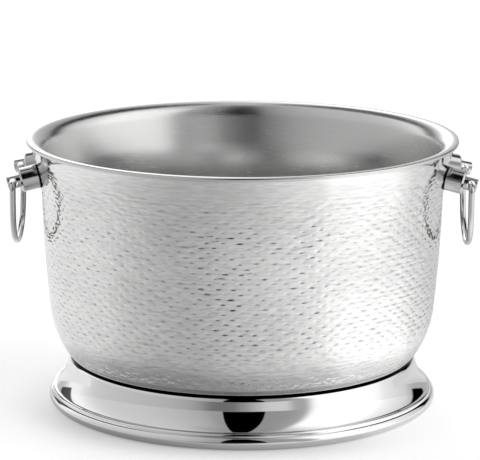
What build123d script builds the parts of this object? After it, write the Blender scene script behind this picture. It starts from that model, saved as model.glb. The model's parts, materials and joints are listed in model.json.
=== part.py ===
from build123d import *

import os
from math import asin, atan2, cos, degrees, hypot, radians, sin

# A round double-walled champagne bucket on a polished foot ring, with a bail handle on each side.
# Millimetres. +Z is up, the origin is on the floor under the middle of the bucket, the bails lie on
# +X (right) and -X (left), and -Y is the front.

# ---- driving dimensions -------------------------------------------------------------------------
RIM_RADIUS = 225.0
HEIGHT = 280.0

# Outer shell: a spun and hammered sheet. Leans are measured from the vertical.
SHELL_SHEET = 1.0
SHELL_BOTTOM = 49.0
BOTTOM_BEND_RADIUS, BOTTOM_BEND_LEAN = 6.0, 38.0
BELLY_RADIUS, BELLY_LEAN = 97.5, 6.0
WALL_RADIUS, WALL_LEAN = 1470.0, 1.5
FLARE_RADIUS, FLARE_LEAN = 103.0, 12.5
LIP_RADIUS, LIP_LEAN = 25.0, 39.5

# Inner liner: a smooth sheet that turns out over the shell's edge as a rolled hem.
LINER_SHEET = 0.8
LINER_BOTTOM = 58.0
LINER_BEND_RADIUS, LINER_BEND_LEAN = 56.0, 5.0
LINER_FLARE_RADIUS = 200.0
BRIM_BEND_RADIUS = 18.0
BRIM_DOME_RADIUS, BRIM_RISE, BRIM_FALL = 11.0, 30.0, 10.0
HEM_RADIUS = 2.2
HEM_TURN = 55.0

# Foot ring: a flange, rounded neck and cavetto of one sheet, ending on a solid half-round bead.
FOOT_SHEET = 1.2
FLANGE_INNER_RADIUS = 160.0
NECK_BEND_RADIUS = 5.5
NECK_LEAN = 15.0
CAVETTO_TOP = 36.0
CAVETTO_TOP_RADIUS = 184.9
CAVETTO_RADIUS, CAVETTO_TURN = 39.0, 32.0
CURL_RADIUS, CURL_TURN = 4.0, 29.0
EDGE_RADIUS, EDGE_TURN = 3.0, 68.0
BEAD_RADIUS = 7.0
BEAD_CENTRE_HEIGHT = 6.8
BEAD_OUTER_RADIUS = 203.7
BEAD_SEAM_ANGLE, BEAD_HEM_ANGLE = 60.0, 125.0

# Handle fittings: each post stands square to the flared wall and carries one end of a bail.
POST_SPACING = 90.8
PIVOT_X = 235.0
HOLE_HEIGHT = 238.9
POST_DIAMETER = 14.0
POST_HEAD_LENGTH = 13.5
POST_EDGE_CHAMFER = 0.6
CROSS_HOLE_DIAMETER = 9.4
STUD_DIAMETER = 8.0
STUD_END_CHAMFER = 0.8
COLLAR_DIAMETER = 25.0
COLLAR_EDGE_CHAMFER = 1.8
STUD_HOLE_DIAMETER = 8.4
STRAP_THICKNESS = 1.8
STRAP_HALF_HEIGHT = 13.0
STRAP_END_MARGIN = 15.0
STRAP_SEAT_DIAMETER = 19.0
STRAP_SEAT_DEPTH = 0.25
WASHER_DIAMETER, WASHER_THICKNESS, WASHER_SPLIT = 14.8, 1.6, 1.2
NUT_ACROSS_FLATS, NUT_THICKNESS = 13.0, 4.0
NUT_BORE = 8.1
STUD_PAST_NUT = 0.9

# Bails: round wire bent to a deep bow, its ends turned in through the posts from outside.
WIRE_DIAMETER = 6.3
WIRE_REST_GAP = 0.3
BAIL_SPAN = 116.4
BAIL_DROP = 68.0
BAIL_CORNER_RADIUS = 6.5
BAIL_SIDE_RADIUS, BAIL_SIDE_TURN = 36.0, 60.0
PIN_PAST_POST = 1.5
PIN_END_CHAMFER = 0.8

SIDES = {"left": -1, "right": 1}
ENDS = {"front": -1, "rear": 1}


# ---- spun sheets --------------------------------------------------------------------------------
def walk(start, heading, moves, offset=0.0):
    """Edges of a path in the (radius, height) plane, moved to its left by offset, and where it ends.

    Each move is (radius, turn) for a bend, turning left where turn is positive, or (0, length).
    Headings are in degrees from the outward radius.
    """
    (x, z), edges = start, []
    for radius, amount in moves:
        left = (-sin(radians(heading)), cos(radians(heading)))
        if radius == 0:
            nx, nz = x + amount * left[1], z - amount * left[0]
            a = (x + offset * left[0], z + offset * left[1])
            b = (nx + offset * left[0], nz + offset * left[1])
            edges.append(Line(a, b))
            x, z = nx, nz
            continue
        way = 1 if amount > 0 else -1
        cx, cz = x + way * radius * left[0], z + way * radius * left[1]
        reach = radius - way * offset
        points = []
        for share in (0.0, 0.5, 1.0):
            angle = radians(heading + share * amount)
            points.append((cx + way * reach * sin(angle), cz - way * reach * cos(angle)))
        edges.append(ThreePointArc(*points))
        heading += amount
        x, z = cx + way * radius * sin(radians(heading)), cz - way * radius * cos(radians(heading))
    return edges, (x, z), heading


def spin(edges):
    """A solid turned about the Z axis from a closed loop of edges in the (radius, height) plane."""
    return revolve(Plane.XZ * make_face(Wire(edges)), Axis.Z)


def spun_sheet(start, heading, moves, thickness):
    """A sheet of this thickness on the left of a path, turned about the Z axis."""
    right, _, _ = walk(start, heading, moves)
    left, _, _ = walk(start, heading, moves, thickness)
    caps = [Line(left[0] @ 0, right[0] @ 0), Line(right[-1] @ 1, left[-1] @ 1)]
    return spin(right + left + caps)


def shell_moves():
    """The outer shell's path, from the axis out along its bottom and up to its edge in the hem."""
    bends = [
        (BOTTOM_BEND_RADIUS, 90 - BOTTOM_BEND_LEAN),
        (BELLY_RADIUS, BOTTOM_BEND_LEAN - BELLY_LEAN),
        (WALL_RADIUS, BELLY_LEAN - WALL_LEAN),
        (FLARE_RADIUS, WALL_LEAN - FLARE_LEAN),
    ]
    lip = (LIP_RADIUS, FLARE_LEAN - LIP_LEAN)
    _, (bare_x, bare_z), _ = walk((0, SHELL_BOTTOM), 0, bends + [lip])
    edge = (RIM_RADIUS - HEM_RADIUS + LINER_SHEET, HEIGHT - HEM_RADIUS - LINER_SHEET)
    cone = (edge[1] - bare_z) / cos(radians(FLARE_LEAN))
    flat = edge[0] - bare_x - cone * sin(radians(FLARE_LEAN))
    return [(0, flat)] + bends + [(0, cone), lip]


def liner_moves():
    """The liner's path on its cavity side, from the axis to the end of the rolled hem."""
    hollow_hem = HEM_RADIUS - LINER_SHEET
    lower = [
        (LINER_BEND_RADIUS, 90 - LINER_BEND_LEAN),
        (WALL_RADIUS, LINER_BEND_LEAN - WALL_LEAN),
        (LINER_FLARE_RADIUS, WALL_LEAN - FLARE_LEAN),
    ]
    brim = [
        (BRIM_BEND_RADIUS, FLARE_LEAN + BRIM_RISE - 90),
        (BRIM_DOME_RADIUS, -BRIM_RISE),
    ]
    fall = [(BRIM_DOME_RADIUS, -BRIM_FALL), (hollow_hem, BRIM_FALL - 90)]
    _, (_, bare_z), _ = walk((0, LINER_BOTTOM), 0, lower + brim)
    cone = (HEIGHT - LINER_SHEET - bare_z) / cos(radians(FLARE_LEAN))
    _, (bare_x, _), _ = walk((0, LINER_BOTTOM), 0, lower + [(0, cone)] + brim + fall)
    flat = RIM_RADIUS - LINER_SHEET - bare_x
    return [(0, flat)] + lower + [(0, cone)] + brim + fall + [(hollow_hem, -HEM_TURN)]


def filled_body():
    """Everything inside the shell's outer face, for fitting collars and straps to it."""
    path, end, _ = walk((0, SHELL_BOTTOM), 0, shell_moves())
    return spin(path + [Line(end, (0, end[1])), Line((0, end[1]), (0, SHELL_BOTTOM))])


def inside_shell(depth):
    """Everything further in from the shell's outer face than depth."""
    path, _, _ = walk((0, SHELL_BOTTOM), 0, shell_moves(), depth)
    low, high = path[0] @ 0, path[-1] @ 1
    return spin(path + [Line(high, (0, high.Y)), Line((0, high.Y), low)])


def foot_moves():
    """The foot's path on its outside, from the flange's inner edge out and down to the bead."""
    lean = radians(NECK_LEAN)
    neck = (SHELL_BOTTOM - NECK_BEND_RADIUS * (1 - sin(lean)) - CAVETTO_TOP) / cos(lean)
    bend_start = CAVETTO_TOP_RADIUS - neck * sin(lean) - NECK_BEND_RADIUS * cos(lean)
    return [
        (0, bend_start - FLANGE_INNER_RADIUS),
        (NECK_BEND_RADIUS, NECK_LEAN - 90),
        (0, neck),
        (CAVETTO_RADIUS, CAVETTO_TURN),
        (CURL_RADIUS, CURL_TURN),
        (EDGE_RADIUS, -EDGE_TURN),
    ]


def on_bead(angle):
    """The point on the bead's round outline at this angle above the outward radius."""
    centre = BEAD_OUTER_RADIUS - BEAD_RADIUS
    turn = radians(angle)
    return (centre + BEAD_RADIUS * cos(turn), BEAD_CENTRE_HEIGHT + BEAD_RADIUS * sin(turn))


def bead_arc(first, last):
    """The bead's outline between two angles."""
    return ThreePointArc(on_bead(first), on_bead((first + last) / 2), on_bead(last))


def foot_ring():
    """The foot: a flange under the shell's flat bottom, a neck and cavetto, and a bead to stand on."""
    start = (FLANGE_INNER_RADIUS, SHELL_BOTTOM)
    outer, outer_end, _ = walk(start, 0, foot_moves())
    inner, _, _ = walk(start, 0, foot_moves()[:4], -FOOT_SHEET)
    floor_angle = degrees(asin(BEAD_CENTRE_HEIGHT / BEAD_RADIUS))
    edges = [
        *outer,
        Line(outer_end, on_bead(BEAD_SEAM_ANGLE)),
        bead_arc(BEAD_SEAM_ANGLE, -floor_angle),
        Line(on_bead(-floor_angle), on_bead(floor_angle - 180)),
        bead_arc(floor_angle - 180, BEAD_HEM_ANGLE - 360),
        Line(on_bead(BEAD_HEM_ANGLE), inner[-1] @ 1),
        *inner,
        Line(inner[0] @ 0, start),
    ]
    return spin(edges)


# ---- handle fittings ----------------------------------------------------------------------------
def post_frame(side, end):
    """A plane at one post's cross hole, with its Z along the post, pointing out from the wall."""
    y = end * POST_SPACING / 2
    turn = atan2(y, PIVOT_X)
    drop = radians(FLARE_LEAN)
    out = Vector(side * cos(turn) * cos(drop), sin(turn) * cos(drop), -sin(drop))
    level = Vector(-sin(turn), side * cos(turn), 0)
    return Plane(origin=(side * PIVOT_X, y, HOLE_HEIGHT), x_dir=level, z_dir=out)


def wall_depth():
    """How far in along a post, from its cross hole, the shell's outer face lies."""
    _, (x, z), _ = walk((0, SHELL_BOTTOM), 0, shell_moves()[:5])
    lean = radians(FLARE_LEAN)
    out = hypot(PIVOT_X, POST_SPACING / 2)
    return (out - x) * cos(lean) - (HOLE_HEIGHT - z) * sin(lean)


def rod(frame, low, high, diameter):
    """A round bar along a frame's Z between two distances from its origin."""
    bar = Cylinder(diameter / 2, high - low, align=(Align.CENTER, Align.CENTER, Align.MIN))
    return frame * (Pos(0, 0, low) * bar)


def post_ends():
    """Distances along a post: its outer end, its shoulder, and its inner end past the nut."""
    outer = POST_HEAD_LENGTH / 2
    shoulder = -POST_HEAD_LENGTH / 2
    stack = SHELL_SHEET + STRAP_THICKNESS - STRAP_SEAT_DEPTH + WASHER_THICKNESS + NUT_THICKNESS
    return outer, shoulder, -(wall_depth() + stack + STUD_PAST_NUT)


def eye_post(side, end):
    """A turned post: a head with the cross hole, and a threaded stud that goes through the wall."""
    outer, shoulder, inner = post_ends()
    head = Cylinder(POST_DIAMETER / 2, outer - shoulder)
    head = chamfer(head.edges().group_by(Axis.Z)[-1], POST_EDGE_CHAMFER)
    stud = Cylinder(STUD_DIAMETER / 2, shoulder - inner, align=(Align.CENTER, Align.CENTER, Align.MIN))
    stud = chamfer(stud.edges().group_by(Axis.Z)[0], STUD_END_CHAMFER)
    post = post_frame(side, end) * (head + Pos(0, 0, inner) * stud)
    hole = Cylinder(CROSS_HOLE_DIAMETER / 2, 3 * POST_DIAMETER, rotation=(90, 0, 0))
    return post - Pos(side * PIVOT_X, end * POST_SPACING / 2, HOLE_HEIGHT) * hole


def collar(side, end, body):
    """A spacer sleeve round the stud, its inner end shaped to the wall."""
    _, shoulder, _ = post_ends()
    reach = wall_depth() + POST_DIAMETER / 2
    sleeve = Cylinder(COLLAR_DIAMETER / 2, reach + shoulder, align=(Align.CENTER, Align.CENTER, Align.MAX))
    sleeve = chamfer(sleeve.edges().group_by(Axis.Z)[-1], COLLAR_EDGE_CHAMFER)
    frame = post_frame(side, end)
    sleeve = frame * (Pos(0, 0, shoulder) * sleeve)
    return sleeve - body - rod(frame, -2 * reach, reach, STUD_HOLE_DIAMETER)


def seat_depth():
    """How far in along a post the flat seat on the backing strap lies."""
    return wall_depth() + SHELL_SHEET + STRAP_THICKNESS - STRAP_SEAT_DEPTH


def backing_strap(side, shell_inside, strap_inside):
    """A curved strap inside the wall that both posts of one bail pull against."""
    width = POST_SPACING + 2 * STRAP_END_MARGIN
    middle = HOLE_HEIGHT + wall_depth() * sin(radians(FLARE_LEAN))
    block = Pos(side * PIVOT_X, 0, middle) * Box(PIVOT_X, width, 2 * STRAP_HALF_HEIGHT)
    block = fillet(block.edges().filter_by(Axis.X), STRAP_HALF_HEIGHT / 2)
    strap = (block & shell_inside) - strap_inside
    for end in ENDS.values():
        frame = post_frame(side, end)
        depth = seat_depth()
        strap -= rod(frame, -2 * depth, 0, STUD_HOLE_DIAMETER)
        strap -= rod(frame, -2 * depth, -depth, STRAP_SEAT_DIAMETER)
    return strap


def lock_washer(side, end):
    """A split spring washer on the strap's seat."""
    depth = seat_depth()
    frame = post_frame(side, end)
    washer = rod(frame, -depth - WASHER_THICKNESS, -depth, WASHER_DIAMETER)
    washer -= rod(frame, -2 * depth, 0, STUD_HOLE_DIAMETER)
    split = Pos(0, WASHER_DIAMETER / 2, -depth) * Box(WASHER_SPLIT, WASHER_DIAMETER, WASHER_DIAMETER)
    return washer - frame * split


def stud_nut(side, end):
    """A thin hexagon nut on the stud, tight against the lock washer."""
    depth = seat_depth() + WASHER_THICKNESS
    blank = extrude(RegularPolygon(NUT_ACROSS_FLATS / 2, 6, major_radius=False), NUT_THICKNESS)
    blank -= Cylinder(NUT_BORE / 2, 4 * NUT_THICKNESS)
    return post_frame(side, end) * (Pos(0, 0, -depth - NUT_THICKNESS) * blank)


# ---- bails --------------------------------------------------------------------------------------
def bail(side):
    """A bow of round wire, hanging down, with its two ends turned in through the posts."""
    half = BAIL_SPAN / 2
    hang = HOLE_HEIGHT - (CROSS_HOLE_DIAMETER - WIRE_DIAMETER) / 2 + WIRE_REST_GAP
    pin_end = POST_SPACING / 2 - POST_DIAMETER / 2 - PIN_PAST_POST
    turn = radians(BAIL_SIDE_TURN)
    crown_radius = (half - BAIL_SIDE_RADIUS * (1 - cos(turn))) / cos(turn)
    bow_depth = BAIL_SIDE_RADIUS * sin(turn) + crown_radius * (1 - sin(turn))
    leg = BAIL_DROP - BAIL_CORNER_RADIUS - bow_depth
    moves = [
        (0, half - BAIL_CORNER_RADIUS - pin_end),
        (BAIL_CORNER_RADIUS, -90),
        (0, leg),
        (BAIL_SIDE_RADIUS, -BAIL_SIDE_TURN),
        (crown_radius, 2 * (BAIL_SIDE_TURN - 90)),
        (BAIL_SIDE_RADIUS, -BAIL_SIDE_TURN),
        (0, leg),
        (BAIL_CORNER_RADIUS, -90),
        (0, half - BAIL_CORNER_RADIUS - pin_end),
    ]
    edges, _, _ = walk((pin_end, hang), 0, moves)
    path = Plane(origin=(side * PIVOT_X, 0, 0), x_dir=(0, 1, 0), z_dir=(1, 0, 0)) * Wire(edges)
    start = Plane(origin=path @ 0, z_dir=path % 0)
    wire = sweep(start * Circle(WIRE_DIAMETER / 2), path=path)
    tips = [e for e in wire.edges().filter_by(GeomType.CIRCLE) if abs(abs(e.center().Y) - pin_end) < 0.01]
    return chamfer(tips, PIN_END_CHAMFER)


# ---- the whole bucket ---------------------------------------------------------------------------
def main():
    body = filled_body()
    shell_inside = inside_shell(SHELL_SHEET)
    strap_inside = inside_shell(SHELL_SHEET + STRAP_THICKNESS)

    shell = spun_sheet((0, SHELL_BOTTOM), 0, shell_moves(), SHELL_SHEET)
    for side in SIDES.values():
        for end in ENDS.values():
            shell -= rod(post_frame(side, end), -2 * wall_depth(), 0, STUD_HOLE_DIAMETER)

    parts = {
        "outer_shell": shell,
        "inner_liner": spun_sheet((0, LINER_BOTTOM), 0, liner_moves(), LINER_SHEET),
        "foot_ring": foot_ring(),
    }
    for side_name, side in SIDES.items():
        parts[f"{side_name}_bail"] = bail(side)
        parts[f"{side_name}_backing_strap"] = backing_strap(side, shell_inside, strap_inside)
        for end_name, end in ENDS.items():
            place = f"{side_name}_{end_name}"
            parts[f"{place}_eye_post"] = eye_post(side, end)
            parts[f"{place}_collar"] = collar(side, end, body)
            parts[f"{place}_lock_washer"] = lock_washer(side, end)
            parts[f"{place}_stud_nut"] = stud_nut(side, end)

    os.makedirs("parts", exist_ok=True)
    for name, part in parts.items():
        export_step(part, f"parts/{name}.step")


main()
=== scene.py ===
"""The looks of a round double-walled champagne bucket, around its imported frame.

The frame gives the main sizes and places, and the bends below repeat those of its solids. The three spun
sheets and the two bails are made again here as finer meshes, with the hammer marks as real shape. The
other pieces keep their solids.
"""

import json
from math import asin, cos, degrees, pi, radians, sin

import bpy
import numpy as np
from mathutils import Euler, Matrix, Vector


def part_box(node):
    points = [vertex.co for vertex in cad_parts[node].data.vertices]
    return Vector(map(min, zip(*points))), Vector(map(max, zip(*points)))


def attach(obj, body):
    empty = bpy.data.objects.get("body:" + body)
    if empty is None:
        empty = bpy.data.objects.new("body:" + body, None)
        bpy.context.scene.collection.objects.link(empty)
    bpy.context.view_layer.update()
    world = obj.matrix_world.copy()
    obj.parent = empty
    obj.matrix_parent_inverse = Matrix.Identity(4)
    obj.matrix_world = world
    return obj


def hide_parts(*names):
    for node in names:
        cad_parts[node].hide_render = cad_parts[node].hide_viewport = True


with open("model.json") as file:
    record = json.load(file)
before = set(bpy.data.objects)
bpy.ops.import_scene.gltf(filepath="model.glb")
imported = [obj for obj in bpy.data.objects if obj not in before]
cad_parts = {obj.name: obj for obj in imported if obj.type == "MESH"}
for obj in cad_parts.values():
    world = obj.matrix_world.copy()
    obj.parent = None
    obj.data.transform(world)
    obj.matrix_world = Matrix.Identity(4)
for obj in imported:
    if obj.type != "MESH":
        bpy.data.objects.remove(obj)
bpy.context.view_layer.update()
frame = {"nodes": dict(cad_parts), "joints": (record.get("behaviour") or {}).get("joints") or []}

MM = 0.001

# ---- sizes read from the frame, in millimetres ---------------------------------------------------
liner_low, liner_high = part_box("inner_liner")
shell_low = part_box("outer_shell")[0]
foot_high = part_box("foot_ring")[1]
RIM_RADIUS = round(liner_high[1] / MM)
HEIGHT = round(liner_high[2] / MM)
SHELL_BOTTOM = round(shell_low[2] / MM)
LINER_BOTTOM = round(liner_low[2] / MM)
BEAD_OUTER_RADIUS = round(10 * foot_high[1] / MM) / 10
swings = {joint["child"]: joint for joint in frame["joints"]}
PIVOT_X = swings["right_bail"]["pos_m"][0] / MM
PIVOT_HEIGHT = swings["right_bail"]["pos_m"][2] / MM

# ---- the spun sheets' bends, as in the solids. Leans are measured from the vertical --------------
SHELL_SHEET = 1.0
BOTTOM_BEND_RADIUS, BOTTOM_BEND_LEAN = 6.0, 38.0
BELLY_RADIUS, BELLY_LEAN = 97.5, 6.0
WALL_RADIUS, WALL_LEAN = 1470.0, 1.5
FLARE_RADIUS, FLARE_LEAN = 103.0, 12.5
LIP_RADIUS, LIP_LEAN = 25.0, 39.5

LINER_SHEET = 0.8
LINER_BEND_RADIUS, LINER_BEND_LEAN = 56.0, 5.0
LINER_FLARE_RADIUS = 200.0
BRIM_BEND_RADIUS = 18.0
BRIM_DOME_RADIUS, BRIM_RISE, BRIM_FALL = 11.0, 30.0, 10.0
HEM_RADIUS = 2.2
HEM_TURN = 55.0

FOOT_SHEET = 1.2
FLANGE_INNER_RADIUS = 160.0
NECK_BEND_RADIUS = 5.5
NECK_LEAN = 15.0
CAVETTO_TOP = 36.0
CAVETTO_TOP_RADIUS = 184.9
CAVETTO_RADIUS, CAVETTO_TURN = 39.0, 32.0
CURL_RADIUS, CURL_TURN = 4.0, 29.0
EDGE_RADIUS, EDGE_TURN = 3.0, 68.0
BEAD_RADIUS = 7.0
BEAD_CENTRE_HEIGHT = 6.8
BEAD_SEAM_ANGLE, BEAD_HEM_ANGLE = 60.0, 125.0

# ---- bails ---------------------------------------------------------------------------------------
WIRE_DIAMETER = 6.3
BAIL_SPAN = 116.4
BAIL_DROP = 68.0
BAIL_CORNER_RADIUS = 6.5
BAIL_SIDE_RADIUS, BAIL_SIDE_TURN = 36.0, 60.0
PIN_END = 36.9
PIN_END_CHAMFER = 0.8

# ---- hammer marks: staggered rows of short dents, in millimetres ---------------------------------
MARK_PITCH_ROUND, MARK_PITCH_DOWN = 15.4, 5.2
MARKS_LOW, MARKS_HIGH = 57.5, 262.0
MARK_HALF_WIDTH = 3.6
MARK_FACET, MARK_RETURN = 1.7, 3.4
MARK_DEPTH = 0.455
# How much of that depth the marks have at each height.
DEPTH_SHARES = [
    (MARKS_LOW, 0.9), (66.0, 0.9), (73.0, 0.5), (84.0, 0.55), (98.0, 1.2), (130.0, 1.15), (170.0, 1.02),
    (226.0, 0.93), (246.0, 0.72), (MARKS_HIGH, 0.0),
]
# A dent's sides are hollow where this power is over 1.
DENT_POWER = 1.2
# How uneven the marks are: their shift round in pitches, their shift along the wall, and their sizes.
MARK_SEED = 11
SHIFT_ROUND, SHIFT_ALONG = 0.11, 0.55
WIDTH_LEAST, WIDTH_MOST = 0.8, 1.15
DEPTH_LEAST, DEPTH_MOST = 0.85, 1.15
# The rows keep this far from the wall's ends, and the marks fade out over these lengths.
MARK_MARGIN = 2.0
FADE_LOW, FADE_HIGH = 2.0, 8.0
# A faint unevenness drawn out sideways lies over the marks.
STREAK_LENGTH, STREAK_HEIGHT = 4.2, 0.85
STREAK_SLOPE = 0.08
STREAK_DEPTH = 0.12
# The slope from which a mark's facet gets the full painted shade.
FACET_SHADE_SLOPE = 0.32

# ---- how fine the meshes are: points round, steps along in millimetres, and turns in degrees ------
SHELL_COLUMNS, LINER_COLUMNS, FOOT_COLUMNS = 960, 384, 512
SHELL_STEP, SHELL_INSIDE_STEP = 0.55, 12.0
LINER_STEP, LINER_INSIDE_STEP = 6.0, 3.0
FOOT_STEP, FOOT_INSIDE_STEP = 0.7, 2.0
BEAD_POINTS, BEAD_HEM_POINTS = 40, 18
WIRE_STEP, WIRE_SIDES = 1.5, 28
JOINT_STEP = 2.0
BEND_STEP = 6
SHARP_TURN = 32


# ---- outlines -------------------------------------------------------------------------------------
def shares_along(radius, amount, step):
    """Where the points of one move lie, from 0 at its start to 1 at its end."""
    length = abs(amount) if radius == 0 else radius * radians(abs(amount))
    bends = 0 if radius == 0 else abs(amount) / BEND_STEP
    count = max(2, int(length / step) + 1, int(bends) + 1)
    return np.linspace(0, 1, count + 1)


def walk(start, heading, moves, offset=0.0, step=1.0):
    """Points (radius, height, heading) along a path of bends and straights, moved to its left by offset.

    Each move is (radius, turn) for a bend, turning left where turn is positive, or (0, length).
    """
    (x, z), points = start, []
    for radius, amount in moves:
        shares = shares_along(radius, amount, step)[0 if not points else 1 :]
        left = (-sin(radians(heading)), cos(radians(heading)))
        if radius == 0:
            side_x, side_z = offset * left[0], offset * left[1]
            for share in shares:
                run = share * amount
                points.append((x + run * left[1] + side_x, z - run * left[0] + side_z, heading))
            x, z = x + amount * left[1], z - amount * left[0]
            continue
        way = 1 if amount > 0 else -1
        cx, cz = x + way * radius * left[0], z + way * radius * left[1]
        reach = radius - way * offset
        for share in shares:
            turned = heading + share * amount
            angle = radians(turned)
            points.append((cx + way * reach * sin(angle), cz - way * reach * cos(angle), turned))
        heading += amount
        x, z = cx + way * radius * sin(radians(heading)), cz - way * radius * cos(radians(heading))
    return points


def shell_moves():
    """The outer shell's path, from the axis out along its bottom and up to its edge in the hem."""
    bends = [
        (BOTTOM_BEND_RADIUS, 90 - BOTTOM_BEND_LEAN),
        (BELLY_RADIUS, BOTTOM_BEND_LEAN - BELLY_LEAN),
        (WALL_RADIUS, BELLY_LEAN - WALL_LEAN),
        (FLARE_RADIUS, WALL_LEAN - FLARE_LEAN),
    ]
    lip = (LIP_RADIUS, FLARE_LEAN - LIP_LEAN)
    bare_x, bare_z, _ = walk((0, SHELL_BOTTOM), 0, bends + [lip])[-1]
    edge = (RIM_RADIUS - HEM_RADIUS + LINER_SHEET, HEIGHT - HEM_RADIUS - LINER_SHEET)
    cone = (edge[1] - bare_z) / cos(radians(FLARE_LEAN))
    flat = edge[0] - bare_x - cone * sin(radians(FLARE_LEAN))
    return [(0, flat)] + bends + [(0, cone), lip]


def liner_moves():
    """The liner's path on its cavity side, from the axis to the end of the rolled hem."""
    hollow_hem = HEM_RADIUS - LINER_SHEET
    lower = [
        (LINER_BEND_RADIUS, 90 - LINER_BEND_LEAN),
        (WALL_RADIUS, LINER_BEND_LEAN - WALL_LEAN),
        (LINER_FLARE_RADIUS, WALL_LEAN - FLARE_LEAN),
    ]
    brim = [(BRIM_BEND_RADIUS, FLARE_LEAN + BRIM_RISE - 90), (BRIM_DOME_RADIUS, -BRIM_RISE)]
    fall = [(BRIM_DOME_RADIUS, -BRIM_FALL), (hollow_hem, BRIM_FALL - 90)]
    bare_z = walk((0, LINER_BOTTOM), 0, lower + brim)[-1][1]
    cone = (HEIGHT - LINER_SHEET - bare_z) / cos(radians(FLARE_LEAN))
    bare_x = walk((0, LINER_BOTTOM), 0, lower + [(0, cone)] + brim + fall)[-1][0]
    flat = RIM_RADIUS - LINER_SHEET - bare_x
    return [(0, flat)] + lower + [(0, cone)] + brim + fall + [(hollow_hem, -HEM_TURN)]


def foot_moves():
    """The foot's path on its outside, from the flange's inner edge out and down to the bead."""
    lean = radians(NECK_LEAN)
    neck = (SHELL_BOTTOM - NECK_BEND_RADIUS * (1 - sin(lean)) - CAVETTO_TOP) / cos(lean)
    bend_start = CAVETTO_TOP_RADIUS - neck * sin(lean) - NECK_BEND_RADIUS * cos(lean)
    return [
        (0, bend_start - FLANGE_INNER_RADIUS),
        (NECK_BEND_RADIUS, NECK_LEAN - 90),
        (0, neck),
        (CAVETTO_RADIUS, CAVETTO_TURN),
        (CURL_RADIUS, CURL_TURN),
        (EDGE_RADIUS, -EDGE_TURN),
    ]


def bead(first, last, count):
    """Points on the bead's round outline between two angles above the outward radius."""
    centre = BEAD_OUTER_RADIUS - BEAD_RADIUS
    turns = np.radians(np.linspace(first, last, count))
    return [(centre + BEAD_RADIUS * cos(t), BEAD_CENTRE_HEIGHT + BEAD_RADIUS * sin(t), 0.0) for t in turns]


def foot_outline():
    """The foot ring's closed section: flange, neck, cavetto and bead, and back up inside."""
    start = (FLANGE_INNER_RADIUS, SHELL_BOTTOM)
    outer = walk(start, 0, foot_moves(), 0.0, FOOT_STEP)
    inner = walk(start, 0, foot_moves()[:4], -FOOT_SHEET, FOOT_INSIDE_STEP)
    floor_angle = degrees(asin(BEAD_CENTRE_HEIGHT / BEAD_RADIUS))
    outside = bead(BEAD_SEAM_ANGLE, -floor_angle, BEAD_POINTS)
    inside = bead(floor_angle - 180, BEAD_HEM_ANGLE - 360, BEAD_HEM_POINTS)
    return outer + outside + inside + inner[::-1]


def bow_moves():
    """A bail's path from the end of one pin, down and round the bow, to the end of the other."""
    half = BAIL_SPAN / 2
    turn = radians(BAIL_SIDE_TURN)
    crown = (half - BAIL_SIDE_RADIUS * (1 - cos(turn))) / cos(turn)
    bow_depth = BAIL_SIDE_RADIUS * sin(turn) + crown * (1 - sin(turn))
    leg = BAIL_DROP - BAIL_CORNER_RADIUS - bow_depth
    pin = half - BAIL_CORNER_RADIUS - PIN_END
    side = [(0, pin), (BAIL_CORNER_RADIUS, -90), (0, leg), (BAIL_SIDE_RADIUS, -BAIL_SIDE_TURN)]
    return side + [(crown, 2 * (BAIL_SIDE_TURN - 90))] + side[::-1]


# ---- meshes ---------------------------------------------------------------------------------------
def new_piece(name, verts, faces, smooth):
    """A new object in the scene, from points in metres and a smooth or flat mark for each face."""
    mesh = bpy.data.meshes.new(name)
    mesh.from_pydata(verts, [], faces)
    mesh.polygons.foreach_set("use_smooth", smooth)
    mesh.update()
    piece = bpy.data.objects.new(name, mesh)
    bpy.context.scene.collection.objects.link(piece)
    return piece


def ring_faces(rows, columns, closed):
    """Quads from each ring of points to the next, and from the last to the first where closed."""
    row = np.arange(rows if closed else rows - 1)[:, None]
    column = np.arange(columns)[None, :]
    low, high, right = row * columns, (row + 1) % rows * columns, (column + 1) % columns
    quads = np.stack([low + column, low + right, high + right, high + column], -1)
    return quads.reshape(-1, 4).tolist()


def fan_faces(rows, columns):
    """Triangles that close the first and last rings to the two points listed after all rings."""
    low, high, last = rows * columns, rows * columns + 1, (rows - 1) * columns
    faces = []
    for k in range(columns):
        n = (k + 1) % columns
        faces.append((low, n, k))
        faces.append((high, last + k, last + n))
    return faces


def lathe(name, outline, columns, lift=None):
    """A mesh turned about the Z axis from an outline of (radius, height) points in millimetres.

    An outline that starts and ends on the axis gets a fan at each end, and any other is closed.
    lift, where given, moves each ring's points along (out, up) by an array of rows by columns.
    """
    points = np.array([p[:2] for p in outline], float)
    poles = points[0, 0] < 1e-6
    rings = points[1:-1] if poles else points
    rows = len(rings)
    angle = np.arange(columns) * 2 * pi / columns
    radius = np.repeat(rings[:, :1], columns, 1)
    height = np.repeat(rings[:, 1:], columns, 1)
    if lift is not None:
        first, out, up = lift
        radius[first : first + len(out)] += out
        height[first : first + len(up)] += up
    verts = np.stack([radius * np.cos(angle), radius * np.sin(angle), height], -1).reshape(-1, 3)
    faces = ring_faces(rows, columns, not poles)
    if poles:
        verts = np.vstack([verts, [0, 0, points[0, 1]], [0, 0, points[-1, 1]]])
        faces += fan_faces(rows, columns)
    piece = new_piece(name, (verts * MM).tolist(), faces, np.ones(len(faces), bool))
    mark_sharp_rings(piece.data, rings, columns, not poles)
    return piece


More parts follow.
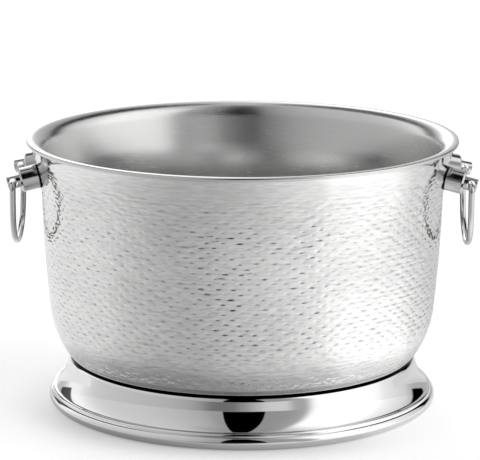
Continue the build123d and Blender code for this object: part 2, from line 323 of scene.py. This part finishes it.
def mark_sharp_rings(mesh, rings, columns, closed):
    """Sharpens the rings where the outline turns by more than SHARP_TURN."""
    steps = np.diff(np.vstack([rings, rings[:1]]), axis=0)
    heading = np.arctan2(steps[:, 1], steps[:, 0])
    turn = np.abs((heading - np.roll(heading, 1) + pi) % (2 * pi) - pi)
    sharp = turn > radians(SHARP_TURN)
    if not closed:
        sharp[0] = sharp[-1] = False
    ends = np.empty(len(mesh.edges) * 2, np.int32)
    mesh.edges.foreach_get("vertices", ends)
    ring = ends.reshape(-1, 2) // columns
    rows = len(rings)
    level = (ring[:, 0] == ring[:, 1]) & (ring[:, 0] < rows)
    flags = level & sharp[np.minimum(ring[:, 0], rows - 1)]
    mesh.attributes.new("sharp_edge", "BOOLEAN", "EDGE").data.foreach_set("value", flags)
    mesh.update()


def hammer_marks(lengths, heights, radius, columns):
    """How far each point of the hammered wall is sunk (negative), in millimetres, by row and column."""
    rng = np.random.default_rng(MARK_SEED)
    sunk = np.zeros((len(lengths), columns))
    count = int(round(2 * pi * radius.mean() / MARK_PITCH_ROUND))
    rows = np.arange(lengths[0] + MARK_MARGIN, lengths[-1] - MARK_MARGIN, MARK_PITCH_DOWN)
    for k, level in enumerate(rows):
        for m in range(count):
            share = (m + 0.5 * (k % 2) + rng.uniform(-SHIFT_ROUND, SHIFT_ROUND)) / count
            middle = level + rng.uniform(-SHIFT_ALONG, SHIFT_ALONG)
            width = rng.uniform(WIDTH_LEAST, WIDTH_MOST)
            depth = rng.uniform(DEPTH_LEAST, DEPTH_MOST)
            add_mark(sunk, lengths, radius, share, middle, width, depth)
    deep = np.interp(heights, *zip(*DEPTH_SHARES))
    sunk = -MARK_DEPTH * sunk * deep[:, None] + streaks(rng, lengths, radius, columns)
    fade_in = np.clip((lengths - lengths[0]) / FADE_LOW, 0, 1)
    fade_out = np.clip((lengths[-1] - lengths) / FADE_HIGH, 0, 1)
    return np.minimum(sunk, 0.0) * (fade_in * fade_out)[:, None]


def add_mark(sunk, lengths, radius, share, middle, width, depth):
    """One dent: a short facet turned upward, and above it a long easy return to the wall's face."""
    columns = sunk.shape[1]
    rows = np.flatnonzero((lengths > middle - MARK_FACET) & (lengths < middle + MARK_RETURN))
    if not len(rows):
        return
    size = 2 * pi * radius[rows[0]] / columns
    reach = int(MARK_HALF_WIDTH * width / size) + 1
    near = np.arange(-reach, reach + 1) + int(round(share * columns))
    across = np.clip(1 - ((near - share * columns) * size / (MARK_HALF_WIDTH * width)) ** 2, 0, 1)
    away = lengths[rows] - middle
    rise = np.where(away < 0, 1 + away / MARK_FACET, 1 - away / MARK_RETURN)
    place = np.ix_(rows, near % columns)
    sunk[place] = np.maximum(sunk[place], depth * rise[:, None] ** DENT_POWER * across[None, :])


def streaks(rng, lengths, radius, columns):
    """A faint unevenness of level streaks, in millimetres, with the wanted spread of slopes."""
    noise = rng.standard_normal((len(lengths), columns))
    row = (lengths[-1] - lengths[0]) / (len(lengths) - 1)
    column = 2 * pi * radius.mean() / columns
    high = np.fft.fftfreq(len(lengths), row)[:, None]
    wide = np.fft.rfftfreq(columns, column)[None, :]
    keep = np.exp(-2 * pi**2 * ((high * STREAK_HEIGHT) ** 2 + (wide * STREAK_LENGTH) ** 2))
    smooth = np.fft.irfft2(np.fft.rfft2(noise) * keep, noise.shape)
    return smooth * STREAK_SLOPE / (np.diff(smooth, axis=0).std() / row) - STREAK_DEPTH


def hammered_shell():
    """The outer shell: smooth bottom, hammered wall, smooth flare, and a plain inner face."""
    moves = shell_moves()
    fine = walk((0, SHELL_BOTTOM), 0, moves, 0.0, SHELL_STEP)
    inner = walk((0, SHELL_BOTTOM), 0, moves, SHELL_SHEET, SHELL_INSIDE_STEP)[::-1]
    flat = [fine[0]]
    below = [p for p in fine if p[1] < MARKS_LOW and p[0] > FLANGE_INNER_RADIUS]
    wall = [p for p in fine if MARKS_LOW <= p[1] <= MARKS_HIGH]
    above = [p for p in fine if p[1] > MARKS_HIGH]
    wall_x, wall_z, heading = np.array(wall).T
    lengths = np.concatenate([[0], np.cumsum(np.hypot(np.diff(wall_x), np.diff(wall_z)))])
    sunk = hammer_marks(lengths, wall_z, wall_x, SHELL_COLUMNS)
    heading = np.radians(heading)[:, None]
    lift = (len(below), sunk * np.sin(heading), -sunk * np.cos(heading))
    piece = lathe("hammered_shell", flat + below + wall + above + inner, SHELL_COLUMNS, lift)
    # How steep each point's facet is, kept as an attribute that the shell's painted shade reads.
    steep = np.clip(-np.gradient(sunk, lengths, axis=0) / FACET_SHADE_SLOPE, 0, 1)
    facet_shade = np.zeros(len(piece.data.vertices), np.float32)
    first = len(below) * SHELL_COLUMNS
    facet_shade[first : first + steep.size] = steep.ravel()
    piece.data.attributes.new("facet_shade", "FLOAT", "POINT").data.foreach_set("value", facet_shade)
    return piece


def smooth_liner():
    """The inner liner with its brim and rolled hem."""
    moves = liner_moves()
    cavity = walk((0, LINER_BOTTOM), 0, moves, 0.0, LINER_STEP)
    inside = walk((0, LINER_BOTTOM), 0, moves, LINER_SHEET, LINER_INSIDE_STEP)
    return lathe("satin_liner", cavity + inside[::-1], LINER_COLUMNS)


def polished_foot():
    """The foot ring."""
    return lathe("polished_foot", foot_outline(), FOOT_COLUMNS)


def bow_rings():
    """The bail's rings of points as (y, z, heading, radius), with a chamfer at the end of each pin."""
    wire = WIRE_DIAMETER / 2
    path = walk((PIN_END, PIVOT_HEIGHT), 0, bow_moves(), 0.0, WIRE_STEP)
    rings = [(y, z, heading, wire) for y, z, heading in path]
    first, last = path[0], path[-1]
    rings[0] = (first[0] + PIN_END_CHAMFER, *first[1:], wire)
    rings[-1] = (last[0] - PIN_END_CHAMFER * cos(radians(last[2])), *last[1:], wire)
    small = wire - PIN_END_CHAMFER
    return [(*first, small), *rings, (*last, small)]


def wire_bow(name, side):
    """A bail: round wire along a bow, its ends turned in towards each other."""
    rings = bow_rings()
    verts, faces = [], []
    for y, z, heading, radius in rings:
        left = (-sin(radians(heading)), cos(radians(heading)))
        for k in range(WIRE_SIDES):
            angle = 2 * pi * k / WIRE_SIDES
            out, across = radius * cos(angle), radius * sin(angle)
            x = side * PIVOT_X + across
            verts.append((x * MM, (y + out * left[0]) * MM, (z + out * left[1]) * MM))
    for r in range(len(rings) - 1):
        low, high = r * WIRE_SIDES, (r + 1) * WIRE_SIDES
        for k in range(WIRE_SIDES):
            n = (k + 1) % WIRE_SIDES
            faces.append((low + k, high + k, high + n, low + n))
    smooth = [True] * len(faces) + [False, False]
    faces.append(tuple(range(WIRE_SIDES)))
    faces.append(tuple(range(len(verts) - 1, len(verts) - WIRE_SIDES - 1, -1)))
    return new_piece(name, verts, faces, smooth)


# ---- node trees -----------------------------------------------------------------------------------
class Nodes:
    """A material's or world's nodes, added one at a time."""

    def __init__(self, owner):
        owner.use_nodes = True
        self.tree = owner.node_tree
        self.tree.nodes.clear()

    def add(self, kind, settings=None, **inputs):
        """Adds a node with its settings, and feeds its named inputs."""
        node = self.tree.nodes.new(kind)
        for key, value in (settings or {}).items():
            setattr(node, key, value)
        for key, value in inputs.items():
            self.feed(node.inputs[key.replace("_", " ")], value)
        return node

    def feed(self, socket, value):
        """Links another node's output to a socket, or sets the socket to a plain value."""
        if isinstance(value, bpy.types.NodeSocket):
            self.tree.links.new(value, socket)
        else:
            socket.default_value = value

    def feed_in_order(self, node, values):
        """Feeds a node's inputs from the first on, and gives its first output."""
        for socket, value in zip(node.inputs, values):
            self.feed(socket, value)
        return node.outputs[0]

    def math(self, operation, *values):
        """One step of arithmetic."""
        return self.feed_in_order(self.add("ShaderNodeMath", {"operation": operation}), values)

    def ramp(self, value, low, high, out_low, out_high):
        """A smooth change from out_low to out_high while value goes from low to high."""
        node = self.add("ShaderNodeMapRange", {"interpolation_type": "SMOOTHSTEP"})
        return self.feed_in_order(node, (value, low, high, out_low, out_high))

    def mix(self, kind, factor, first, second):
        """A mix of two numbers (kind FLOAT) or two colours (kind RGBA)."""
        node = self.add("ShaderNodeMix", {"data_type": kind}, Factor=factor, A=first, B=second)
        return node.outputs["Result"]

    def noise(self, place, scale, detail, roughness):
        """A noise pattern, from 0 to 1."""
        node = self.add("ShaderNodeTexNoise", Vector=place, Scale=scale, Detail=detail, Roughness=roughness)
        return node.outputs["Fac"]

    def radius(self, x, y):
        """The distance from the Z axis."""
        squares = self.math("ADD", self.math("MULTIPLY", x, x), self.math("MULTIPLY", y, y))
        return self.math("SQRT", squares)

    def around(self, angle, levels):
        """A level that changes smoothly with an angle in radians, from stops in degrees."""
        share = self.math("ADD", self.math("DIVIDE", angle, 2 * pi), 0.5)
        node = self.add("ShaderNodeFloatCurve", Value=share)
        curve = node.mapping.curves[0]
        top = max(level for _, level in levels)
        ends = [levels[0], levels[-1]]
        for point, (degree, level) in zip(curve.points, ends):
            point.location = (degree / 360 + 0.5, level / top)
        for degree, level in levels[1:-1]:
            curve.points.new(degree / 360 + 0.5, level / top)
        node.mapping.update()
        return self.math("MULTIPLY", node.outputs[0], top)

    def grey(self, value):
        """A colour with the same value in all channels."""
        return self.add("ShaderNodeCombineColor", Red=value, Green=value, Blue=value).outputs[0]

    def object_place(self):
        """A point's place in the object's own frame."""
        return self.add("ShaderNodeTexCoord").outputs["Object"]

    def split(self, vector):
        """A vector's x, y and z."""
        return self.add("ShaderNodeSeparateXYZ", Vector=vector).outputs


# ---- materials ------------------------------------------------------------------------------------
WHITE = (1.0, 1.0, 1.0, 1.0)
# The near black that painted shade darkens metal towards.
PAINTED_SHADE_COLOUR = (0.01, 0.01, 0.01, 1.0)
# A metal's two patterns: scale, detail and roughness, the share of each, and the span that is used.
GRAIN_NOISE, CLOUD_NOISE = (1.0, 5.0, 0.6), (9.0, 3.0, 0.5)
GRAIN_SHARE, CLOUD_SHARE = 0.6, 0.4
PATTERN_LOW, PATTERN_HIGH = 0.3, 0.7
# How far painted shade darkens the hammer's facets, the bend below the marks and the bails' wall side.
FACET_SHADE, BEND_SHADE, BAIL_SHADE = 0.36, 0.36, 0.85
# Where the painted shade starts and ends, in millimetres: the bend from the lowest mark, the groove
# from the shell's bottom on the shell and on the foot, the joint from the wall, and the bail from the pivots.
BEND_FULL, BEND_NONE = -2.5, 0.5
SHELL_GROOVE_FULL, SHELL_GROOVE_NONE = 1.9, 2.4
FOOT_GROOVE_NONE, FOOT_GROOVE_FULL = -1.9, -1.4
JOINT_FULL, JOINT_NONE = 0.9, 1.5
BAIL_FULL, BAIL_NONE = -2.7, -1.8
# The wall beside a joint is taken as straight this far above and below the pivots.
JOINT_REACH = 12


def plain_grain(scale):
    """Grain that is the same in every direction."""

    def vector(nodes):
        place = nodes.object_place()
        return nodes.add("ShaderNodeMapping", Vector=place, Scale=(scale, scale, scale)).outputs[0]

    return vector


def spun_grain(round_scale, height_scale):
    """Grain drawn out round the bucket's axis without a seam, as spun on a lathe."""

    def vector(nodes):
        x, y, z = nodes.split(nodes.object_place())
        radius = nodes.math("MAXIMUM", nodes.radius(x, y), MM)
        out_x = nodes.math("MULTIPLY", nodes.math("DIVIDE", x, radius), round_scale)
        out_y = nodes.math("MULTIPLY", nodes.math("DIVIDE", y, radius), round_scale)
        level = nodes.math("MULTIPLY", nodes.math("ADD", z, radius), height_scale)
        return nodes.add("ShaderNodeCombineXYZ", X=out_x, Y=out_y, Z=level).outputs[0]

    return vector


def metal(name, colour, deviation, grain, roughness, roughness_spread, bump, bump_size, painted_shade=None):
    """A bare metal whose colour, gloss and surface vary with one grain pattern and one broad cloud.

    The last argument gives, from the nodes, how far painted shade darkens the metal towards near black.
    """
    material = bpy.data.materials.new(name)
    nodes = Nodes(material)
    fine = nodes.noise(grain(nodes), *GRAIN_NOISE)
    cloud = nodes.noise(nodes.object_place(), *CLOUD_NOISE)
    mixed = nodes.math("MULTIPLY", fine, GRAIN_SHARE)
    mixed = nodes.math("ADD", mixed, nodes.math("MULTIPLY", cloud, CLOUD_SHARE))
    deep = tuple(c * (1 - deviation) for c in colour) + (1.0,)
    pale = tuple(min(1.0, c * (1 + deviation)) for c in colour) + (1.0,)
    tone = nodes.mix("RGBA", nodes.ramp(mixed, PATTERN_LOW, PATTERN_HIGH, 0.0, 1.0), deep, pale)
    # Painted shade, where given, darkens the tone towards near black.
    if painted_shade:
        tone = nodes.mix("RGBA", painted_shade(nodes), tone, PAINTED_SHADE_COLOUR)
    least, most = roughness - roughness_spread, roughness + roughness_spread
    rough = nodes.ramp(mixed, PATTERN_LOW, PATTERN_HIGH, least, most)
    raised = nodes.add("ShaderNodeBump", Strength=bump, Distance=bump_size, Height=fine)
    shader = nodes.add("ShaderNodeBsdfPrincipled", Metallic=1.0, Roughness=rough)
    nodes.feed(shader.inputs["Base Color"], tone)
    nodes.feed(shader.inputs["Normal"], raised.outputs["Normal"])
    nodes.add("ShaderNodeOutputMaterial", Surface=shader.outputs["BSDF"])
    return material


def by_height(nodes, base, low, high, out_low, out_high):
    """A smooth change with height, between two levels in millimetres above base."""
    height = nodes.split(nodes.object_place())[2]
    return nodes.ramp(height, (base + low) * MM, (base + high) * MM, out_low, out_high)


def neck_groove_shade(nodes):
    """Painted shade on the top of the foot, in the groove under the shell."""
    return by_height(nodes, SHELL_BOTTOM, FOOT_GROOVE_NONE, FOOT_GROOVE_FULL, 0.0, 1.0)


def painted_shell_shade(nodes):
    """Painted shade: darker on the hammer's steep facets and the bend below them, and dark in the groove at
    the shell's bottom.
    """
    facet_shade = nodes.add("ShaderNodeAttribute", {"attribute_name": "facet_shade"}).outputs["Fac"]
    facet_shade = nodes.math("MULTIPLY", facet_shade, FACET_SHADE)
    # Painted shade on the bend below the lowest mark, where the shell turns under.
    bend = by_height(nodes, MARKS_LOW, BEND_FULL, BEND_NONE, BEND_SHADE, 0.0)
    # Painted shade in the groove between the shell's bottom and the foot.
    groove = by_height(nodes, SHELL_BOTTOM, SHELL_GROOVE_FULL, SHELL_GROOVE_NONE, 1.0, 0.0)
    return nodes.math("MAXIMUM", nodes.math("MAXIMUM", facet_shade, bend), groove)


def wall_joint_shade(nodes):
    """Painted shade in the narrow joint where a fitting meets the shell's wall."""
    path = walk((0, SHELL_BOTTOM), 0, shell_moves(), 0.0, JOINT_STEP)
    radii, levels, _ = zip(*[point for point in path if point[0] > FLANGE_INNER_RADIUS])
    low, high = PIVOT_HEIGHT - JOINT_REACH, PIVOT_HEIGHT + JOINT_REACH
    at_low, at_high = np.interp((low, high), levels, radii)
    x, y, z = nodes.split(nodes.object_place())
    rise = nodes.math("MULTIPLY", nodes.math("SUBTRACT", z, low * MM), (at_high - at_low) / (high - low))
    away = nodes.math("SUBTRACT", nodes.math("SUBTRACT", nodes.radius(x, y), at_low * MM), rise)
    return nodes.ramp(away, JOINT_FULL * MM, JOINT_NONE * MM, 1.0, 0.0)


def wall_side_shade(nodes):
    """Painted shade on the side of a bail that faces the bucket's wall."""
    away = nodes.math("ABSOLUTE", nodes.split(nodes.object_place())[0])
    return nodes.ramp(away, (PIVOT_X + BAIL_FULL) * MM, (PIVOT_X + BAIL_NONE) * MM, BAIL_SHADE, 0.0)


# Colour, deviation, grain, roughness and its spread, bump strength and size in metres, and painted shade.
SHELL_GREY, FITTING_GREY = (0.765, 0.765, 0.76), (0.57, 0.57, 0.565)
SHELL_GRAIN, MIRROR_GRAIN = spun_grain(15, 420), spun_grain(20, 300)
HAMMERED = metal("hammered_steel", SHELL_GREY, 0.16, SHELL_GRAIN, 0.085, 0.02, 0.04, 0.0002, painted_shell_shade)
SATIN = metal("satin_steel", (0.66, 0.66, 0.655), 0.03, spun_grain(12, 1500), 0.24, 0.05, 0.12, 0.0001)
MIRROR = metal("mirror_steel", (0.80, 0.80, 0.80), 0.01, MIRROR_GRAIN, 0.03, 0.01, 0.02, 0.0001, neck_groove_shade)
FITTING = metal("fitting_steel", FITTING_GREY, 0.03, plain_grain(900), 0.12, 0.03, 0.05, 0.0001, wall_joint_shade)
BAIL = metal("bail_steel", FITTING_GREY, 0.03, plain_grain(900), 0.12, 0.03, 0.05, 0.0001, wall_side_shade)
MILL = metal("mill_steel", (0.55, 0.55, 0.54), 0.06, plain_grain(700), 0.38, 0.06, 0.12, 0.0001)
ZINC = metal("zinc_steel", (0.62, 0.64, 0.66), 0.05, plain_grain(500), 0.28, 0.06, 0.08, 0.0001)


# ---- dressing the frame ---------------------------------------------------------------------------
def dress(piece, material, slot, body, *nodes):
    """Gives a new piece its material and body, in place of the named nodes."""
    piece.data.materials.append(material)
    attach(piece, body)
    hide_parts(*nodes)


def paint_node(name, material):
    """Gives a kept solid its material."""
    mesh = frame["nodes"][name].data
    mesh.materials.clear()
    mesh.materials.append(material)


dress(hammered_shell(), HAMMERED, "hammered_steel", "bucket", "outer_shell")
dress(smooth_liner(), SATIN, "satin_steel", "bucket", "inner_liner")
dress(polished_foot(), MIRROR, "mirror_polished_steel", "bucket", "foot_ring")
for side_name, side in (("left", -1), ("right", 1)):
    bail_name = f"{side_name}_bail"
    dress(wire_bow(f"{bail_name}_wire", side), BAIL, "polished_fittings", bail_name, bail_name)

FINISHES = {
    "eye_post": FITTING,
    "collar": FITTING,
    "backing_strap": MILL,
    "lock_washer": ZINC,
    "stud_nut": ZINC,
}
for node_name in frame["nodes"]:
    for ending, finish in FINISHES.items():
        if node_name.endswith(ending):
            paint_node(node_name, finish)


# ---- the floor ------------------------------------------------------------------------------------
# Angles go round the bucket in degrees, from 0 in front, positive to the right. Distances are metres.
FLOOR_SIZE = 40.0
FLOOR_COLOUR = 0.80
# Of the level the floor is seen at, how much glows by itself and how much is lit, and so keeps shadow.
FLOOR_GLOW, FLOOR_SHADED = 0.46, 0.95
# A painted pool of light: how bright metal shows the floor at each angle.
FLOOR_LEVELS = [
    (-180, 0.82), (-103, 0.96), (-77, 0.87), (-50, 0.61), (-30, 0.54), (0, 0.67), (18, 0.81), (36, 1.03),
    (56, 1.34), (77, 1.28), (103, 0.93), (139, 0.71), (180, 0.78),
]
# How bright metal shows that painted light up to one distance, past another, and, as painted shadow, right
# beside the foot.
NEAR_END, FAR_START = 0.30, 0.62
FLOOR_NEAR, FLOOR_FAR, FLOOR_BESIDE = 1.0, 0.92, 0.60
# How much painted shadow darkens the floor beside the foot at each angle, and over which distance that fades.
CONTACT_LEVELS = [(-180, 0.0), (-90, 0.14), (-45, 0.32), (0, 0.34), (30, 0.24), (60, 0.03), (180, 0.0)]
CONTACT_NEAR, CONTACT_FAR = 0.195, 0.29
CONTACT_POWER = 2.5
# A thin painted shadow line where the foot's bead meets the floor.
CREASE_SHADE, CREASE_NEAR, CREASE_FAR = 0.38, 0.193, 0.201


def floor_level(nodes, mirrored):
    """How bright the floor looks, with its painted pool of light and painted shadow: in metal where mirrored
    is 1, and to the camera elsewhere.
    """
    x, y, _ = nodes.split(nodes.object_place())
    turn = nodes.math("ARCTAN2", x, nodes.math("MULTIPLY", y, -1.0))
    distance = nodes.radius(x, y)
    pool = nodes.around(turn, FLOOR_LEVELS)
    pool = nodes.math("MULTIPLY", pool, nodes.ramp(distance, NEAR_END, FAR_START, FLOOR_NEAR, FLOOR_FAR))
    pool = nodes.math("MULTIPLY", pool, nodes.ramp(distance, CONTACT_NEAR, CONTACT_FAR, FLOOR_BESIDE, 1.0))
    covered = nodes.math("SUBTRACT", 1.0, nodes.ramp(distance, CONTACT_NEAR, CONTACT_FAR, 0.0, 1.0))
    covered = nodes.math("POWER", covered, CONTACT_POWER)
    shade = nodes.math("MULTIPLY", covered, nodes.around(turn, CONTACT_LEVELS))
    crease = nodes.ramp(distance, CREASE_NEAR, CREASE_FAR, 1 - CREASE_SHADE, 1.0)
    beside = nodes.math("MULTIPLY", nodes.math("SUBTRACT", 1.0, shade), crease)
    return nodes.mix("FLOAT", mirrored, beside, pool)


def floor_material():
    """White that keeps the bucket's shadow, and shows as white to the camera and in metal."""
    material = bpy.data.materials.new("floor_white")
    nodes = Nodes(material)
    rays = nodes.add("ShaderNodeLightPath").outputs
    mirrored = nodes.math("MAXIMUM", rays["Is Glossy Ray"], rays["Is Transmission Ray"])
    seen = nodes.math("MAXIMUM", rays["Is Camera Ray"], mirrored)
    level = floor_level(nodes, mirrored)
    plain = nodes.add("ShaderNodeBsdfDiffuse", Color=(FLOOR_COLOUR, FLOOR_COLOUR, FLOOR_COLOUR, 1.0))
    dimmed = nodes.add("ShaderNodeBsdfDiffuse", Color=nodes.grey(nodes.math("MULTIPLY", level, FLOOR_SHADED)))
    glow = nodes.add("ShaderNodeEmission", Color=WHITE, Strength=nodes.math("MULTIPLY", level, FLOOR_GLOW))
    bright = nodes.feed_in_order(nodes.add("ShaderNodeAddShader"), (dimmed.outputs[0], glow.outputs[0]))
    mixed = nodes.feed_in_order(nodes.add("ShaderNodeMixShader"), (seen, plain.outputs[0], bright))
    nodes.add("ShaderNodeOutputMaterial", Surface=mixed)
    return material


def white_floor():
    """The floor under the bucket."""
    half = FLOOR_SIZE / 2
    corners = [(-half, -half, 0), (half, -half, 0), (half, half, 0), (-half, half, 0)]
    floor = new_piece("floor", corners, [(0, 1, 2, 3)], [False])
    floor.data.materials.append(floor_material())


# ---- the studio, seen as a ray from the bucket: its angle, and its rise z from 0 to 1 --------------
# How bright the studio is at each angle.
STUDIO_LEVELS = [
    (-180, 1.05), (-168, 1.90), (-153, 0.62), (-134, 1.15), (-118, 0.95), (-104, 0.78), (-60, 0.66),
    (-41, 0.58), (-27, 0.50), (-13, 0.37), (20, 0.34), (40, 0.44), (53, 1.32), (92, 1.40), (104, 1.15),
    (126, 0.85), (152, 0.50), (166, 0.60), (180, 1.05),
]
# How many times brighter it is below HORIZON_END than above HORIZON_CLEAR.
HORIZON_LEVELS = [
    (-180, 1.0), (-60, 0.86), (-40, 0.84), (-27, 0.72), (-13, 0.5), (0, 0.9), (12, 1.7), (22, 2.1), (32, 1.6),
    (42, 1.0), (180, 1.0),
]
HORIZON_END, HORIZON_CLEAR = 0.243, 0.256
# How bright it is overhead, above CEILING_FULL, in place of the level below CEILING_START.
OVERHEAD_LEVELS = [
    (-180, 0.75), (-100, 0.75), (-60, 0.60), (-20, 0.36), (30, 0.34), (60, 0.62), (100, 0.75), (180, 0.75),
]
CEILING_START, CEILING_FULL = 0.80, 0.97
# The dark gap in front: how far each side lies from the middle, at no distance and for each unit ahead.
GAP_LEFT, GAP_LEFT_SPREAD = 0.015, 0.19
GAP_RIGHT, GAP_RIGHT_SPREAD = -0.02, 0.30
# How soft its sides are, and where it starts: by rise, and by how far the ray goes to the front.
GAP_EDGE = 0.006
GAP_FOOT = (0.245, 0.27)
GAP_FRONT = (0.17, 0.185)
# The dark strips at the back: side (1 is right), nearest and farthest angle, and how dark each is.
STRIPS = [(1, 137, 151, 1.0), (-1, 136, 149, 0.9)]
# How soft their sides are, in degrees, and between which rises they start and end.
STRIP_EDGE = 1.2
STRIP_FOOT = (0.095, 0.125)
STRIP_HEAD = (0.975, 0.995)
# Above this rise, a strip's near side comes forward by this angle for each unit of rise.
STRIP_SPREAD_START, STRIP_SPREAD = 0.45, 62


def dark_gap(nodes, x, front, rise):
    """How dark the gap in front makes a ray, from 0 to 1."""
    ahead = nodes.math("MAXIMUM", front, 0.0)
    right = nodes.math("ADD", GAP_RIGHT, nodes.math("MULTIPLY", ahead, GAP_RIGHT_SPREAD))
    left = nodes.math("ADD", GAP_LEFT, nodes.math("MULTIPLY", ahead, GAP_LEFT_SPREAD))
    within = nodes.math("MINIMUM", nodes.math("ADD", left, x), nodes.math("SUBTRACT", right, x))
    gap = nodes.ramp(within, -GAP_EDGE, GAP_EDGE, 0.0, 1.0)
    gap = nodes.math("MULTIPLY", gap, nodes.ramp(rise, *GAP_FOOT, 0.0, 1.0))
    return nodes.math("MULTIPLY", gap, nodes.ramp(front, *GAP_FRONT, 0.0, 1.0))


def dark_strip(nodes, angle, rise, near, far):
    """How dark a strip at the back makes a ray, from 0 to 1. It spreads forward as it rises."""
    over = nodes.math("MAXIMUM", nodes.math("SUBTRACT", rise, STRIP_SPREAD_START), 0.0)
    leaning = nodes.math("ADD", angle, nodes.math("MULTIPLY", over, radians(STRIP_SPREAD)))
    start = nodes.ramp(leaning, radians(near - STRIP_EDGE), radians(near + STRIP_EDGE), 0.0, 1.0)
    end = nodes.ramp(angle, radians(far - STRIP_EDGE), radians(far + STRIP_EDGE), 1.0, 0.0)
    foot, head = nodes.ramp(rise, *STRIP_FOOT, 0.0, 1.0), nodes.ramp(rise, *STRIP_HEAD, 1.0, 0.0)
    return nodes.math("MULTIPLY", nodes.math("MULTIPLY", start, end), nodes.math("MULTIPLY", foot, head))


def studio_world():
    """A pale studio with a dark gap in front and a dark strip at the back on each side.

    Its light differs by angle, near the horizon and overhead. The camera sees it as plain white.
    """
    world = bpy.data.worlds.new("studio")
    bpy.context.scene.world = world
    nodes = Nodes(world)
    x, y, z = nodes.split(nodes.add("ShaderNodeTexCoord").outputs["Generated"])
    front = nodes.math("MULTIPLY", y, -1.0)
    angle = nodes.math("ARCTAN2", x, front)
    low = nodes.ramp(z, HORIZON_END, HORIZON_CLEAR, 1.0, 0.0)
    low = nodes.mix("FLOAT", low, 1.0, nodes.around(angle, HORIZON_LEVELS))
    level = nodes.math("MULTIPLY", nodes.around(angle, STUDIO_LEVELS), low)
    ceiling = nodes.ramp(z, CEILING_START, CEILING_FULL, 0.0, 1.0)
    level = nodes.mix("FLOAT", ceiling, level, nodes.around(angle, OVERHEAD_LEVELS))
    dark = dark_gap(nodes, x, front, z)
    for side, near, far, share in STRIPS:
        strip = dark_strip(nodes, nodes.math("MULTIPLY", angle, side), z, near, far)
        dark = nodes.math("MAXIMUM", dark, nodes.math("MULTIPLY", strip, share))
    level = nodes.math("MULTIPLY", level, nodes.math("SUBTRACT", 1.0, dark))
    seen = nodes.add("ShaderNodeLightPath").outputs["Is Camera Ray"]
    sky = nodes.add("ShaderNodeBackground", Color=WHITE, Strength=nodes.mix("FLOAT", seen, level, 1.0))
    nodes.add("ShaderNodeOutputWorld", Surface=sky.outputs[0])


# ---- the camera: in front, a little to the side, looking down from afar. Places are metres ---------
CAMERA_SIDE, CAMERA_DISTANCE, CAMERA_HEIGHT = -0.0024, 2.671, 0.7693
CAMERA_PITCH = radians(12.45)
CAMERA_ROLL = radians(0.18)
CAMERA_LENS, SENSOR_WIDTH = 195.4, 36.0
CAMERA_REACH = 100.0
# The bucket stands turned by this angle before the camera, so the camera goes round it by as much.
OBJECT_TURN = radians(-0.53)


def camera():
    """The camera that sees the bucket at rest."""
    data = bpy.data.cameras.new("camera")
    data.lens, data.sensor_width, data.sensor_fit = CAMERA_LENS, SENSOR_WIDTH, "HORIZONTAL"
    data.clip_end = CAMERA_REACH
    view = bpy.data.objects.new("camera", data)
    bpy.context.scene.collection.objects.link(view)
    round_object = Euler((0.0, 0.0, -OBJECT_TURN)).to_matrix()
    view.location = round_object @ Vector((CAMERA_SIDE, -CAMERA_DISTANCE, CAMERA_HEIGHT))
    tilt = Euler((pi / 2 - CAMERA_PITCH, 0.0, -OBJECT_TURN)).to_matrix()
    roll = Euler((0.0, 0.0, CAMERA_ROLL)).to_matrix()
    view.rotation_euler = (tilt @ roll).to_euler()
    bpy.context.scene.camera = view


white_floor()
studio_world()
camera()
bpy.context.scene.view_settings.view_transform = "Standard"
